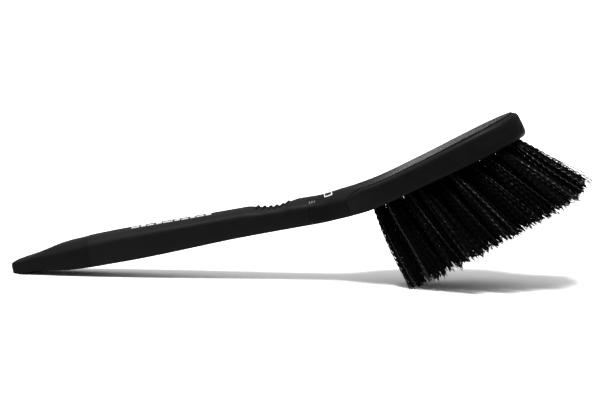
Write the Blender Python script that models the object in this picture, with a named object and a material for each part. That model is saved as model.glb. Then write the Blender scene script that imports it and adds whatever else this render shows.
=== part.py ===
"""Long-handled wheel brush.

A hard core (butt, inner handle, neck and oval head block) carries a soft grip
sleeve with a ribbed thumb rest, a soft bumper round the head, and ten rows of
bristle tufts, each tuft held in its blind hole by a flat wire anchor.

The brush is drawn in plan as a paddle: S runs along the top of the brush from
the butt to the toe, Y runs across it and N is the depth below its top face.
The plan is then wrapped on to a spine that climbs with the handle and bends
up at the neck, which gives the brush the attitude it has when it lies on its
butt and its heel bristles.
"""
import math
import bpy
import bmesh
from mathutils import Vector

MM = 0.001
NAME = "wheel_brush"

# ---- driving dimensions, in mm -------------------------------------------
HANDLE_DEG = 11.6          # climb of the handle
HEAD_DEG = 27.5            # climb of the head
SPINE_Z0 = 15.1            # height of the top of the brush above the butt's contact
BEND_X0, BEND_X1 = 189.5, 235.5     # where the neck bends
HEAD_MID = 272.5           # middle of the oval head, along S
HEAD_HALF_LEN = 52.0
HEAD_HALF_WID = 31.0
BUTT_S = -7.4              # end of the butt
GRIP_S0, GRIP_S1 = 46.0, 186.6      # ends of the grip sleeve
GRIP_WALL = 2.6
GAP = 0.3                  # clearance between neighbouring pieces
RIB_COUNT, RIB_PITCH, RIB_R, RIB_LEN = 6, 3.9, 1.15, 13.0
RIB_S0 = 153.2
BAND_WALL = 2.6            # bumper
RIM_STEP = 0.4             # extra drop from the top flat to the rim
BAND_S0 = 211.0            # tips of the bumper's two arms
HOLE_R, HOLE_DEPTH = 2.65, 9.5
ROOT_R = 2.3
ROWS = 10
ROW_S0, ROW_PITCH = 225.0, 10.1
# tufts in each row and their spacing, from the heel to the toe
ROW_TUFTS = [(3, 8.4), (4, 8.7), (5, 9.0), (6, 9.0), (5, 9.2), (6, 9.0), (5, 9.0), (4, 9.4), (5, 8.0), (3, 7.0)]
HEEL_DEG, FAN_DEG, FAN_POW = 8.0, 22.5, 1.2   # lean of the first tufts, and what the fan adds by the toe
SIDE_DEG = 11.0
TIP_RS = 4.5               # flared tuft, half size along the brush
ANCHOR = (5.9, 0.5, 1.8)   # width, wire thickness, height
SIDES = 8

# driving stations: (S, value)
HALF_WIDTH = [(-7.4, 9.0), (0, 11.4), (12, 12.4), (30, 13.3), (60, 13.8), (95, 13.8),
              (140, 12.9), (170, 12.6), (190, 12.8), (198, 13.4), (206, 15.8), (213, 19.6),
              (220, 23.6), (228, 27.0), (238, 29.4), (250, 30.6), (262, 31.0), (272.5, 31.0)]
TOP_DROP = [(-7.4, 7.6), (9, 4.8), (24, 1.5), (31, 0.85), (39, 0.35), (45.5, -0.2), (50, -0.35), (66, -0.6),
            (120, -0.5), (145, -0.5), (151, -0.1), (157, 0.4), (167, 0.3), (171, 0.0), (174.5, -0.35), (180, -0.15),
            (190, 0.0), (195, -0.15), (199, -0.5), (206, -1.0), (212, -0.9),
            (217, -0.5), (222, -0.1), (228, 0.0), (330, 0.0)]
FOOT_S1 = 0.2              # the butt is flat underneath up to here
BOTTOM = [(0.2, 15.2), (2.4, 14.75), (5.0, 14.4), (14, 15.2), (27, 17.1), (34, 17.8),
          (50, 18.3), (70, 18.3), (90, 17.9), (115, 17.0), (141, 16.2), (165, 16.0), (190, 15.9),
          (207, 15.2), (213, 15.05), (222.5, 15.1), (226, 14.8), (230, 14.6), (240, 14.6), (300, 15.5), (330, 15.6)]
CHAMFER_W = [(-7.4, 1.6), (10, 2.4), (25, 4.4), (45, 5.6), (150, 5.6), (185, 6.2), (196, 7.2), (204, 8.2),
             (209, 8.4), (214, 5.6), (224, 2.3), (330, 2.2)]
CHAMFER_D = [(-7.4, 1.2), (10, 1.8), (25, 4.4), (36, 4.2), (66, 3.1), (105, 2.8), (144, 2.5), (176, 2.9),
             (197, 4.0), (204, 5.0), (209, 5.8), (214, 4.2), (224, 2.1), (330, 2.0)]
FOOT_R = [(-7.4, 1.2), (0, 1.4), (20, 3.0), (45, 4.4), (200, 4.2), (210, 2.2), (222, 2.6), (240, 3.6), (300, 4.8), (330, 5.4)]
SCOOP = [(148, 0.0), (154.5, 0.9), (162, 1.9), (167, 2.0), (173, 1.1), (179.5, 0.0)]
TRIM = [(225, 70.6), (235, 69.0), (254, 66.5), (293, 64.6), (318, 63.4), (333, 61.9), (345, 59.0)]


# ---- small tools ----------------------------------------------------------
def table(rows, s):
    """Monotone cubic through the stations."""
    if s <= rows[0][0]:
        return rows[0][1]
    if s >= rows[-1][0]:
        return rows[-1][1]
    k = max(i for i in range(len(rows) - 1) if rows[i][0] <= s)
    (x0, y0), (x1, y1) = rows[k], rows[k + 1]
    d = (y1 - y0) / (x1 - x0)

    def slope(i):
        if i <= 0 or i >= len(rows) - 1:
            return 0.0
        a = (rows[i][1] - rows[i - 1][1]) / (rows[i][0] - rows[i - 1][0])
        b = (rows[i + 1][1] - rows[i][1]) / (rows[i + 1][0] - rows[i][0])
        return 0.0 if a * b <= 0 else 2 * a * b / (a + b)
    m0 = slope(k) if k > 0 else d
    m1 = slope(k + 1) if k + 1 < len(rows) - 1 else d
    if rows[k + 1][1] == rows[k][1]:
        m0 = m1 = 0.0
    t = (s - x0) / (x1 - x0)
    h = x1 - x0
    return ((2 * t**3 - 3 * t * t + 1) * y0 + (t**3 - 2 * t * t + t) * h * m0
            + (-2 * t**3 + 3 * t * t) * y1 + (t**3 - t * t) * h * m1)


def smooth(t):
    t = min(1.0, max(0.0, t))
    return t * t * (3 - 2 * t)


M0, M1 = math.tan(math.radians(HANDLE_DEG)), math.tan(math.radians(HEAD_DEG))


def build_spine():
    pts = []
    x, z = -20.0, SPINE_Z0 - 20.0 * M0
    s = -20.0 * math.hypot(1, M0)
    step = 0.25
    while x < 340:
        m = M0 + (M1 - M0) * min(1, max(0, (x - BEND_X0) / (BEND_X1 - BEND_X0)))
        pts.append((s, x, z, m))
        x += step
        z += m * step
        s += math.hypot(step, m * step)
    return pts


SPINE = build_spine()


def wrap(s, y, n):
    """Plan point (s across y, depth n) on to the spine, in metres."""
    lo, hi = 0, len(SPINE) - 2
    while lo < hi:
        mid = (lo + hi + 1) // 2
        if SPINE[mid][0] <= s:
            lo = mid
        else:
            hi = mid - 1
    a, b = SPINE[lo], SPINE[lo + 1]
    t = (s - a[0]) / (b[0] - a[0])
    x, z, m = (a[i] + (b[i] - a[i]) * t for i in (1, 2, 3))
    q = math.hypot(1, m)
    return Vector(((x + n * m / q) * MM, y * MM, (z - n / q) * MM))


def half_width(s):
    if s <= HEAD_MID:
        return table(HALF_WIDTH, s)
    t = min(1.0, (s - HEAD_MID) / HEAD_HALF_LEN)
    return HEAD_HALF_WID * max(0.0, 1 - t**2.35) ** (1 / 2.2)


def plan_outline(count):
    """One side of the paddle: [(s, w, normal_s, normal_w)] from butt to toe."""
    toe = HEAD_MID + HEAD_HALF_LEN
    raw = [(BUTT_S, 0.0), (BUTT_S, 4.0)]
    rc = 4.6                       # corner of the butt in plan
    w0 = half_width(BUTT_S)
    for k in range(4):
        a = math.radians(8 + 24 * k)
        raw.append((BUTT_S + rc * (1 - math.cos(a)), w0 - rc * (1 - math.sin(a))))
    stations = [1.2, 5, 9, 14, 19, 25, 31, 38, GRIP_S0 - 0.01, GRIP_S0 + 0.01, 55, 70, 85, 100, 115, 130, 140, 146,
                150, 154, 158, 161, 164, 167, 171, 175, 180, GRIP_S1 - 0.01, GRIP_S1 + 0.01, 190, 195, 199, 203,
                BAND_S0 - 0.52, BAND_S0 - 0.48, 213, 216, 219, 222, 226, 231, 237, 244, 252, 262, HEAD_MID]
    raw += [(s, half_width(s)) for s in stations if s > raw[-1][0] + 0.004]
    for k in range(1, count):
        a = 0.5 * math.pi * k / count
        s = HEAD_MID + HEAD_HALF_LEN * math.sin(a) ** 0.93
        raw.append((s, half_width(s)))
    raw.append((toe, 0.0))
    out = []
    for i, (s, w) in enumerate(raw):
        if i == 0:
            out.append((s, w, -1.0, 0.0))
            continue
        if i == len(raw) - 1:
            out.append((s, w, 1.0, 0.0))
            continue
        ds, dw = raw[i + 1][0] - raw[i - 1][0], raw[i + 1][1] - raw[i - 1][1]
        q = math.hypot(ds, dw)
        out.append((s, w, -dw / q, ds / q))
    return out


def sole_n(s):
    """Depth of the underside; the butt's end lies flat on Z = 0."""
    if s <= FOOT_S1:
        a = math.radians(HANDLE_DEG)
        return (SPINE_Z0 + s * math.sin(a)) / math.cos(a)
    return table(BOTTOM, s)


def top_n(s):
    return table(TOP_DROP, s) + table(SCOOP, s)


def clip(prof, d):
    """Cut an edge profile back to a wall at offset d, with small rounded edges."""
    def skin(o, rows):
        rows = sorted(rows)
        for (o0, n0), (o1, n1) in zip(rows, rows[1:]):
            if o <= o1:
                return n0 + (n1 - n0) * max(0.0, (o - o0) / (o1 - o0))
        return rows[-1][1]
    out = []
    for (o, n), room in zip(prof[:4], (0.9, 0.45, 0.12, 0.0)):
        q = max(o, d + room)
        out.append((q, max(skin(q, prof[:4]), prof[0][1] + (0.0, 0.05, 0.22, 0.6)[len(out)])))
    for (o, n), room in zip(prof[4:], (0.1, 0.2, 0.4, 0.8)):
        q = max(o, d + room)
        out.append((q, min(skin(q, prof[4:]), prof[-1][1] - (0.9, 0.45, 0.15, 0.0)[len(out) - 4])))
    return out


def profile(s):
    """Edge profile: (inward offset, depth) from the top flat to the sole."""
    cw, cd, fr = table(CHAMFER_W, s), table(CHAMFER_D, s), table(FOOT_R, s)
    t, b = top_n(s), sole_n(s)
    cd = min(cd, (b - t) * 0.45)
    fr = min(fr, (b - t) * 0.45)
    soft = 0.22
    pts = [(cw * (1 + soft), t), (cw * (1 - soft), t + cd * soft * 0.7),
           (cw * 0.28, t + cd * 0.74), (0.0, t + cd * 1.18),
           (0.15, b - fr)]
    for k in (1, 2):
        a = math.radians(30 * k)
        pts.append((0.15 + fr * (1 - math.cos(a)), b - fr * (1 - math.sin(a))))
    pts.append((0.15 + fr, b))
    return pts


def new_object(name, bm, coll, smooth_deg=32):
    me = bpy.data.meshes.new(name)
    bm.normal_update()
    bmesh.ops.recalc_face_normals(bm, faces=bm.faces)
    bm.to_mesh(me)
    bm.free()
    ob = bpy.data.objects.new(name, me)
    coll.objects.link(ob)
    me.shade_smooth()
    me.set_sharp_from_angle(angle=math.radians(smooth_deg))
    return ob


def cut(ob, tool, operation='DIFFERENCE'):
    mod = ob.modifiers.new(operation.lower(), 'BOOLEAN')
    mod.operation = operation
    mod.solver = 'EXACT'
    mod.object = tool
    return mod


def freeze(ob):
    """Apply the modifiers by taking the evaluated mesh."""
    dg = bpy.context.evaluated_depsgraph_get()
    me = bpy.data.meshes.new_from_object(ob.evaluated_get(dg))
    ob.modifiers.clear()
    old = ob.data
    ob.data = me
    bpy.data.meshes.remove(old)


def hide(ob):
    ob.hide_render = True
    ob.display_type = 'WIRE'


def material(name, rgb, rough, metal=0.0):
    mat = bpy.data.materials.new(name)
    mat.use_nodes = True
    bsdf = next(n for n in mat.node_tree.nodes if n.type == 'BSDF_PRINCIPLED')
    bsdf.inputs["Base Color"].default_value = (*rgb, 1)
    bsdf.inputs["Roughness"].default_value = rough
    bsdf.inputs["Metallic"].default_value = metal
    return mat


def paint(ob, mat):
    ob.data.materials.clear()
    ob.data.materials.append(mat)


# ---- tuft layout ----------------------------------------------------------
def tuft_layout():
    """[(row, s, y)]: staggered rows that stay inside the head's outline."""
    spots = []
    for row, (count, pitch) in enumerate(ROW_TUFTS):
        s = ROW_S0 + ROW_PITCH * row - (1.0 if row == ROWS - 1 else 0.0)
        spots += [(row, s, pitch * (k - 0.5 * (count - 1))) for k in range(count)]
    return spots


def tuft_axes(s, y):
    """Frame of a tuft: base point on the sole, unit axis, unit across, unit along."""
    base = wrap(s, y, sole_n(s))
    along = (wrap(s + 1, y, 0) - wrap(s - 1, y, 0)).normalized()
    down = Vector((along.z, 0, -along.x))
    t = max(0.0, (s - ROW_S0) / (ROW_PITCH * (ROWS - 1)))
    fan = math.radians(HEEL_DEG + FAN_DEG * t**FAN_POW)
    side = math.radians(SIDE_DEG) * y / 24.0
    axis = (down + along * math.tan(fan) + Vector((0, math.tan(side), 0))).normalized()
    across = Vector((0, 1, 0))
    u = (along - axis * along.dot(axis)).normalized()
    return base, axis, axis.cross(u).normalized() * (1 if axis.cross(u).y > 0 else -1), u


def trim_length(s, y):
    """Length from the sole to the trimmed tips along the tuft axis."""
    base, axis, v, u = tuft_axes(s, y)
    lo, hi = 30.0, 70.0
    for _ in range(24):
        mid = 0.5 * (lo + hi)
        p = base + axis * mid * MM
        ss = s + (p - base).dot((wrap(s + 1, y, 0) - wrap(s - 1, y, 0)).normalized()) / MM
        along = (wrap(s + 1, y, 0) - wrap(s - 1, y, 0)).normalized()
        down = Vector((along.z, 0, -along.x))
        depth = sole_n(s) + (p - base).dot(down) / MM
        if depth < table(TRIM, ss):
            lo = mid
        else:
            hi = mid
    return lo


def tuft_solid(name, coll, s, y, tip_v, odd):
    base, axis, v, u = tuft_axes(s, y)
    # neighbours differ slightly, as trimmed tufts do
    length = trim_length(s, y) - (0.9 if odd else 0.0)
    tip_u = TIP_RS - (0.25 if odd else 0.0)
    along = (wrap(s + 1, y, 0) - wrap(s - 1, y, 0)).normalized()
    down = Vector((along.z, 0, -along.x))
    top = -(HOLE_DEPTH - 0.4)
    levels = [(top, ROOT_R * 0.8, ROOT_R * 0.8), (top + 0.7, ROOT_R, ROOT_R), (0.6, ROOT_R, ROOT_R),
              (length * 0.45, ROOT_R + (tip_u - ROOT_R) * 0.50, ROOT_R + (tip_v - ROOT_R) * 0.50),
              (length, tip_u, tip_v)]
    bm = bmesh.new()
    rings = []
    for z, ru, rv in levels:
        ring = []
        for k in range(SIDES):
            a = 2 * math.pi * (k + 0.5) / SIDES
            p = base + (axis * z + u * ru * math.cos(a) + v * rv * math.sin(a)) * MM
            if z == length:
                # the tips are trimmed level, not square to the tuft
                off = p - (base + axis * z * MM)
                p = p - axis * (off.dot(down) / axis.dot(down))
            ring.append(bm.verts.new(p))
        rings.append(ring)
    for a, b in zip(rings, rings[1:]):
        for k in range(SIDES):
            bm.faces.new((a[k], a[(k + 1) % SIDES], b[(k + 1) % SIDES], b[k]))
    bm.faces.new(rings[0][::-1])
    bm.faces.new(rings[-1])
    return new_object(name, bm, coll)


def frame_matrix(origin, x, y, z):
    from mathutils import Matrix
    m = Matrix.Identity(4)
    for i, vec in enumerate((x, y, z)):
        m.col[i][:3] = vec
    m.col[3][:3] = origin
    return m


def boxes(name, coll, spots, size, level):
    """Upright boxes at every tuft, across the hole, at a level above the sole."""
    bm = bmesh.new()
    for row, s, y in spots:
        base, axis, v, u = tuft_axes(s, y)
        made = bmesh.ops.create_cube(bm, size=1.0)
        m = frame_matrix(base - axis * level * MM, v, u, axis)
        for vert in made["verts"]:
            c = vert.co
            vert.co = m @ Vector((c.x * size[0] * MM, c.y * size[1] * MM, c.z * size[2] * MM))
    return new_object(name, bm, coll)


def main():
    for ob in list(bpy.data.objects):
        bpy.data.objects.remove(ob, do_unlink=True)
    scene = bpy.context.scene
    parts = bpy.data.collections.new(NAME)
    tools = bpy.data.collections.new("cutters")
    scene.collection.children.link(parts)
    scene.collection.children.link(tools)
    root = bpy.data.objects.new("brush_frame", None)
    parts.objects.link(root)

    plastic = material("core_plastic", (0.012, 0.012, 0.013), 0.38)
    rubber = material("grip_rubber", (0.018, 0.018, 0.019), 0.62)
    band_rubber = material("bumper_rubber", (0.018, 0.018, 0.019), 0.6)
    fibre = material("bristle_fibre", (0.01, 0.01, 0.011), 0.35)
    steel = material("anchor_steel", (0.62, 0.62, 0.6), 0.35, 1.0)

    in_grip = lambda s: GRIP_S0 < s < GRIP_S1

    # core: full width outside the grip, reduced inside it and inside the bumper
    def core_inset(s):
        if in_grip(s):
            return GRIP_WALL
        if s > BAND_S0 - 0.5:
            return (0.5 + (BAND_WALL - 0.5) * smooth((s - BAND_S0) / 11.0)) + GAP
        return 0.0
    core = make_core("core", parts, core_inset)
    paint(core, plastic)

    grip = make_grip(parts, tools)
    paint(grip, rubber)

    band = make_band(parts)
    paint(band, band_rubber)

    spots = tuft_layout()
    # blind holes and anchor notches in the head block
    bm = bmesh.new()
    for row, s, y in spots:
        base, axis, v, u = tuft_axes(s, y)
        made = bmesh.ops.create_cone(bm, cap_ends=True, segments=SIDES, radius1=HOLE_R / math.cos(math.pi / SIDES),
                                     radius2=HOLE_R / math.cos(math.pi / SIDES), depth=HOLE_DEPTH + 3.0)
        m = frame_matrix(base - axis * (HOLE_DEPTH - 3.0) * 0.5 * MM, u, -v, axis)
        if m.determinant() < 0:
            m = frame_matrix(base - axis * (HOLE_DEPTH - 3.0) * 0.5 * MM, u, v, axis)
        for vert in made["verts"]:
            c = vert.co
            ca, sa = math.cos(math.pi / SIDES), math.sin(math.pi / SIDES)
            vert.co = m @ Vector(((c.x * ca - c.y * sa) * MM, (c.x * sa + c.y * ca) * MM, c.z * MM))
    holes = new_object("hole_cutter", bm, tools)
    hide(holes)
    notch = boxes("notch_cutter", tools, spots,
                  (ANCHOR[0] + 2 * GAP, ANCHOR[1] + 2 * GAP, ANCHOR[2] + 2 * GAP), HOLE_DEPTH - 2.6)
    hide(notch)
    cut(core, holes)
    cut(core, notch)
    freeze(core)

    # tufts, joined row by row where their flared tips meet
    for row in range(ROWS):
        mine = [p for p in spots if p[0] == row]
        tips = []
        for _, s, y in mine:
            base, axis, v, u = tuft_axes(s, y)
            tips.append((base + axis * trim_length(s, y) * MM).y / MM)
        pitch = max(b - a for a, b in zip(tips, tips[1:]))
        tip_v = max(4.5, 0.5 * pitch / math.cos(math.pi / SIDES) + 0.35)
        first = None
        extra = []
        for k, (_, s, y) in enumerate(mine):
            ob = tuft_solid("bristle_row_%02d" % (row + 1) if k == 0 else "tuft_%02d_%d" % (row, k),
                            parts if k == 0 else tools, s, y, tip_v, k % 2)
            if first is None:
                first = ob
            else:
                hide(ob)
                extra.append(ob)
                cut(first, ob, 'UNION')
        slots = boxes("slot_cutter_%02d" % row, tools, mine,
                      (ANCHOR[0] + 2.0, ANCHOR[1] + 2 * GAP, ANCHOR[2] + 2 * GAP), HOLE_DEPTH - 2.6)
        hide(slots)
        cut(first, slots)
        freeze(first)
        paint(first, fibre)
        for k, (_, s, y) in enumerate(mine):
            a = boxes("anchor_%02d_%d" % (row + 1, k + 1), parts, [(row, s, y)], ANCHOR, HOLE_DEPTH - 2.6)
            paint(a, steel)

    # stand the brush on Z = 0 with its box centred on the origin
    bpy.context.view_layer.update()
    lo, hi = Vector((1e9,) * 3), Vector((-1e9,) * 3)
    for ob in parts.objects:
        if ob.type == 'MESH':
            for vert in ob.data.vertices:
                for i in range(3):
                    lo[i] = min(lo[i], vert.co[i])
                    hi[i] = max(hi[i], vert.co[i])
    for ob in list(parts.objects) + list(tools.objects):
        if ob is not root:
            ob.parent = root
    root.location = (-(lo.x + hi.x) * 0.5, -(lo.y + hi.y) * 0.5, -lo.z)


def make_core(name, coll, inset):
    outline = plan_outline(14)
    return loft(name, coll, outline, inset,
                lambda s: GRIP_WALL if GRIP_S0 < s < GRIP_S1 else 0.0)


def loft(name, coll, outline, inset, sink):
    """Ring loft of the paddle: inset(s) inward everywhere, sink(s) on top and sole.
    Where nothing is sunk, the skin keeps its place and is only cut back to the inset."""
    bm = bmesh.new()
    columns = []
    for (s, w, ns, nw) in outline:
        d, e = inset(s), sink(s)
        prof = profile(s)
        t, b = prof[0][1], prof[-1][1]
        low = prof[3][1] - t
        if e > 0:
            k = (b - t - 2 * e) / (b - t)
            prof = [(d + o, t + e + (n - t) * k) for o, n in prof]
        elif d > 0:
            prof = clip(prof, d)
        sides = []
        for sign in (1, -1):
            if w == 0.0 and sign == -1:
                sides.append(sides[0])
                continue
            col = []
            for q, n in prof:
                yy = max(0.0, w - nw * q)
                # depths follow the place the ring has moved to
                ss = s - ns * q
                t1, b1 = top_n(ss), sole_n(ss)
                if n < t + 0.5 * (b - t):
                    # the thumb scoop runs out at the lower edge of the chamfer
                    n1 = n - t + t1 - table(SCOOP, ss) * min(1.0, max(0.0, (n - t - e) / low))
                else:
                    n1 = n - b + b1
                col.append(bm.verts.new(wrap(ss, sign * yy, n1)))
            sides.append(col)
        columns.append(sides)
    rings = len(columns[0][0])
    for a, b in zip(columns, columns[1:]):
        for side in (0, 1):
            for k in range(rings - 1):
                ring = []
                for v in (a[side][k], b[side][k], b[side][k + 1], a[side][k + 1]):
                    if v not in ring:
                        ring.append(v)
                bm.faces.new(ring if side else ring[::-1])
        for k in (0, rings - 1):
            ring = []
            for v in (a[0][k], b[0][k], b[1][k], a[1][k]):
                if v not in ring:
                    ring.append(v)
            bm.faces.new(ring if k == 0 else ring[::-1])
    for col in (columns[0], columns[-1]):
        if col[0] is not col[1]:
            bm.faces.new(col[0] + col[1][::-1])
    bmesh.ops.triangulate(bm, faces=[f for f in bm.faces if len(f.verts) > 3], quad_method='BEAUTY')
    return new_object(name, bm, coll)


def grip_outline(s0, s1):
    full = plan_outline(14)
    out = []
    for s in [s0] + [o[0] for o in full if s0 + 0.8 < o[0] < s1 - 0.8] + [s1]:
        w = half_width(s)
        dw = half_width(s + 0.5) - half_width(s - 0.5)
        q = math.hypot(1, dw)
        out.append((s, w, -dw / q, 1 / q))
    return out


def make_grip(parts, tools):
    outer = loft("grip", parts, grip_outline(GRIP_S0 + GAP, GRIP_S1 - GAP), lambda s: 0.0, lambda s: 0.0)
    bore = loft("grip_bore", tools, grip_outline(GRIP_S0 - 6, GRIP_S1 + 6),
                lambda s: GRIP_WALL - GAP, lambda s: GRIP_WALL - GAP)
    hide(bore)
    # ribs of the thumb rest
    for k in range(RIB_COUNT):
        s = RIB_S0 + RIB_PITCH * k
        p = wrap(s, 0, top_n(s) + 0.25)
        along = (wrap(s + 1, 0, top_n(s + 1)) - wrap(s - 1, 0, top_n(s - 1))).normalized()
        bm = bmesh.new()
        bmesh.ops.create_cone(bm, cap_ends=True, segments=8, radius1=RIB_R, radius2=RIB_R, depth=RIB_LEN)
        for vert in bm.verts:
            c = vert.co
            vert.co = p + (Vector((0, 1, 0)) * c.z + along * c.x + Vector((-along.z, 0, along.x)) * c.y) * MM
        rib = new_object("rib_%d" % k, bm, tools)
        hide(rib)
        cut(outer, rib, 'UNION')
    cut(outer, bore)
    freeze(outer)
    return outer


def make_band(parts):
    """Bumper: a band swept round the head from one arm tip to the other."""
    side = [o for o in plan_outline(14) if o[0] >= BAND_S0 - 0.6]
    s = BAND_S0
    dw = half_width(s + 0.5) - half_width(s - 0.5)
    q = math.hypot(1, dw)
    side = [(s, half_width(s), -dw / q, 1 / q)] + [o for o in side if o[0] > s + 0.8]
    path = [(o, 1) for o in side] + [(o, -1) for o in side[-2::-1]]
    bm = bmesh.new()
    rings = []
    for (s, w, ns, nw), sign in path:
        d = 0.5 + (BAND_WALL - 0.5) * smooth((s - BAND_S0) / 11.0)
        cw, cd = table(CHAMFER_W, s), table(CHAMFER_D, s)
        b, fr = sole_n(s) - 0.3, table(FOOT_R, s)
        prof = [q for q in profile(s) if q[0] < d - 0.05]
        upper = [q for q in prof if q[1] < 6]
        # the rim stands a step below the top flat of the head
        top_in = (d, cd * max(0.0, 1 - d / cw) + 0.35 + RIM_STEP * smooth((s - 214) / 14.0))
        ring = [top_in]
        ring.append((d * 0.45, max(top_in[1] + 0.15, cd * max(0.0, 1 - 0.45 * d / cw) + 0.2)))
        ring.append((0.0, max(ring[-1][1] + 0.6, cd * 1.18)))
        ring.append((0.12, b - min(fr, 4)))
        for k in (1, 2):
            a = math.radians(32 * k)
            ring.append((min(d - 0.2, 0.12 + min(fr, 4) * (1 - math.cos(a))), b - min(fr, 4) * (1 - math.sin(a))))
        ring.append((d, b - 0.1 if d > 2 else b - min(fr, 4) * 0.1))
        pts = [bm.verts.new(wrap(s - ns * o, sign * (w - nw * o), n)) for o, n in ring]
        rings.append(pts)
    count = len(rings[0])
    for a, b in zip(rings, rings[1:]):
        for k in range(count):
            bm.faces.new((a[k], a[(k + 1) % count], b[(k + 1) % count], b[k]))
    bm.faces.new(rings[0][::-1])
    bm.faces.new(rings[-1])
    bmesh.ops.triangulate(bm, faces=[f for f in bm.faces if len(f.verts) > 3], quad_method='BEAUTY')
    return new_object("head_bumper", bm, parts)


main()
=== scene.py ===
"""Looks of the long-handled wheel brush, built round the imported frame."""
import math
import bmesh
import bpy
import numpy as np
from mathutils import Matrix, Vector


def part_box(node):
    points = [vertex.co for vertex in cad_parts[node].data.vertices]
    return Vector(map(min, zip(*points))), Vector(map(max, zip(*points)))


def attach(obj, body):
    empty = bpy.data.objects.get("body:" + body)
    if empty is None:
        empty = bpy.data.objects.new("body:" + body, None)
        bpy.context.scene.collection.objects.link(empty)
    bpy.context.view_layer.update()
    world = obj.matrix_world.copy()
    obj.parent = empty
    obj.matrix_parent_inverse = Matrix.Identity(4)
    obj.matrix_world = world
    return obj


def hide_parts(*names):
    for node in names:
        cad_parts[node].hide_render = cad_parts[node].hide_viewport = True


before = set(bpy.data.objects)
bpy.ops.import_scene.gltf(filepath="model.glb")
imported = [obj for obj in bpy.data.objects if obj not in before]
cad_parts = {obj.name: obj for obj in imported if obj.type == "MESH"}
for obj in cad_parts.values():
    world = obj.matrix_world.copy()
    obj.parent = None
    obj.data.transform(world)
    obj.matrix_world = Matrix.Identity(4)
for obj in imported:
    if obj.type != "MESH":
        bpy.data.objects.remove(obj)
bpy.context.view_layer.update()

MM = 0.001

# ---- the brush's driving dimensions, in mm (the same design as the CAD) ----
HANDLE_DEG, HEAD_DEG = 11.6, 27.5
SPINE_Z0 = 15.1
BEND_X0, BEND_X1 = 189.5, 235.5
HEAD_MID, HEAD_HALF_LEN, HEAD_HALF_WID = 272.5, 52.0, 31.0
BUTT_S = -7.4
GRIP_S0, GRIP_S1, GRIP_WALL = 46.0, 186.6, 2.6
GAP = 0.3
SEAM = 0.28
RIB_COUNT, RIB_PITCH, RIB_R, RIB_LEN, RIB_S0 = 6, 3.9, 1.15, 13.0, 153.2
BAND_WALL, BAND_S0, RIM_STEP = 2.6, 211.0, 0.4
HOLE_R, HOLE_DEPTH, ROOT_R = 2.65, 9.5, 2.3
ROWS, ROW_S0, ROW_PITCH = 10, 225.0, 10.1
ROW_TUFTS = [(3, 8.4), (4, 8.7), (5, 9.0), (6, 9.0), (5, 9.2), (6, 9.0), (5, 9.0), (4, 9.4), (5, 8.0), (3, 7.0)]
HEEL_DEG, FAN_DEG, FAN_POW, SIDE_DEG = 8.0, 22.5, 1.2, 11.0
FOOT_S1 = 0.2

HALF_WIDTH = [(-7.4, 9.0), (0, 11.4), (12, 12.4), (30, 13.3), (60, 13.8), (95, 13.8),
              (140, 12.9), (170, 12.6), (190, 12.8), (198, 13.4), (206, 15.8), (213, 19.6),
              (220, 23.6), (228, 27.0), (238, 29.4), (250, 30.6), (262, 31.0), (272.5, 31.0)]
TOP_DROP = [(-7.4, 7.1), (9, 4.85), (24, 1.7), (31, 0.85), (39, 0.35), (45.5, -0.2), (50, -0.35), (66, -0.6),
            (120, -0.5), (145, -0.5), (151, -0.1), (157, 0.4), (167, 0.35), (171.5, 0.2), (175.5, -0.3), (180, -0.15),
            (190, 0.0), (195, -0.15), (199, -0.5), (206, -1.0), (212, -0.9),
            (217, -0.5), (222, -0.1), (228, 0.0), (258, 0.0), (284, -0.45), (303, -0.8), (318, -0.85), (330, -0.6)]
BOTTOM = [(0.2, 15.2), (2.4, 14.75), (5.0, 14.4), (14, 15.2), (27, 17.1), (34, 17.8),
          (50, 18.3), (70, 18.3), (90, 17.9), (115, 17.0), (141, 16.2), (165, 16.0), (190, 15.9),
          (207, 15.2), (213, 15.05), (222.5, 15.1), (226, 14.8), (230, 14.6), (240, 14.6),
          (300, 15.5), (330, 15.6)]
CHAMFER_W = [(-7.4, 1.6), (10, 2.4), (25, 4.4), (45, 5.6), (150, 5.6), (185, 6.2), (196, 7.2), (204, 8.2),
             (209, 8.4), (214, 5.6), (224, 2.3), (330, 2.2)]
CHAMFER_D = [(-7.4, 1.2), (10, 1.8), (25, 4.4), (36, 4.2), (66, 3.1), (105, 2.8), (144, 2.5), (176, 2.9),
             (197, 4.0), (204, 5.0), (209, 5.8), (214, 4.2), (224, 2.1), (330, 2.0)]
FOOT_R = [(-7.4, 1.2), (0, 1.4), (20, 3.0), (45, 4.4), (200, 4.2), (210, 2.2), (222, 2.6), (240, 3.6),
          (300, 4.8), (330, 5.4)]
SCOOP = [(148, 0.0), (154.5, 0.9), (162, 1.9), (167, 2.0), (173, 1.1), (179.5, 0.0)]
TRIM = [(225, 70.2), (235, 68.8), (254, 66.4), (280, 65.0), (300, 64.2), (318, 63.4), (333, 61.9), (340, 60.2),
        (343, 55.5), (347, 49.0)]


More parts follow.
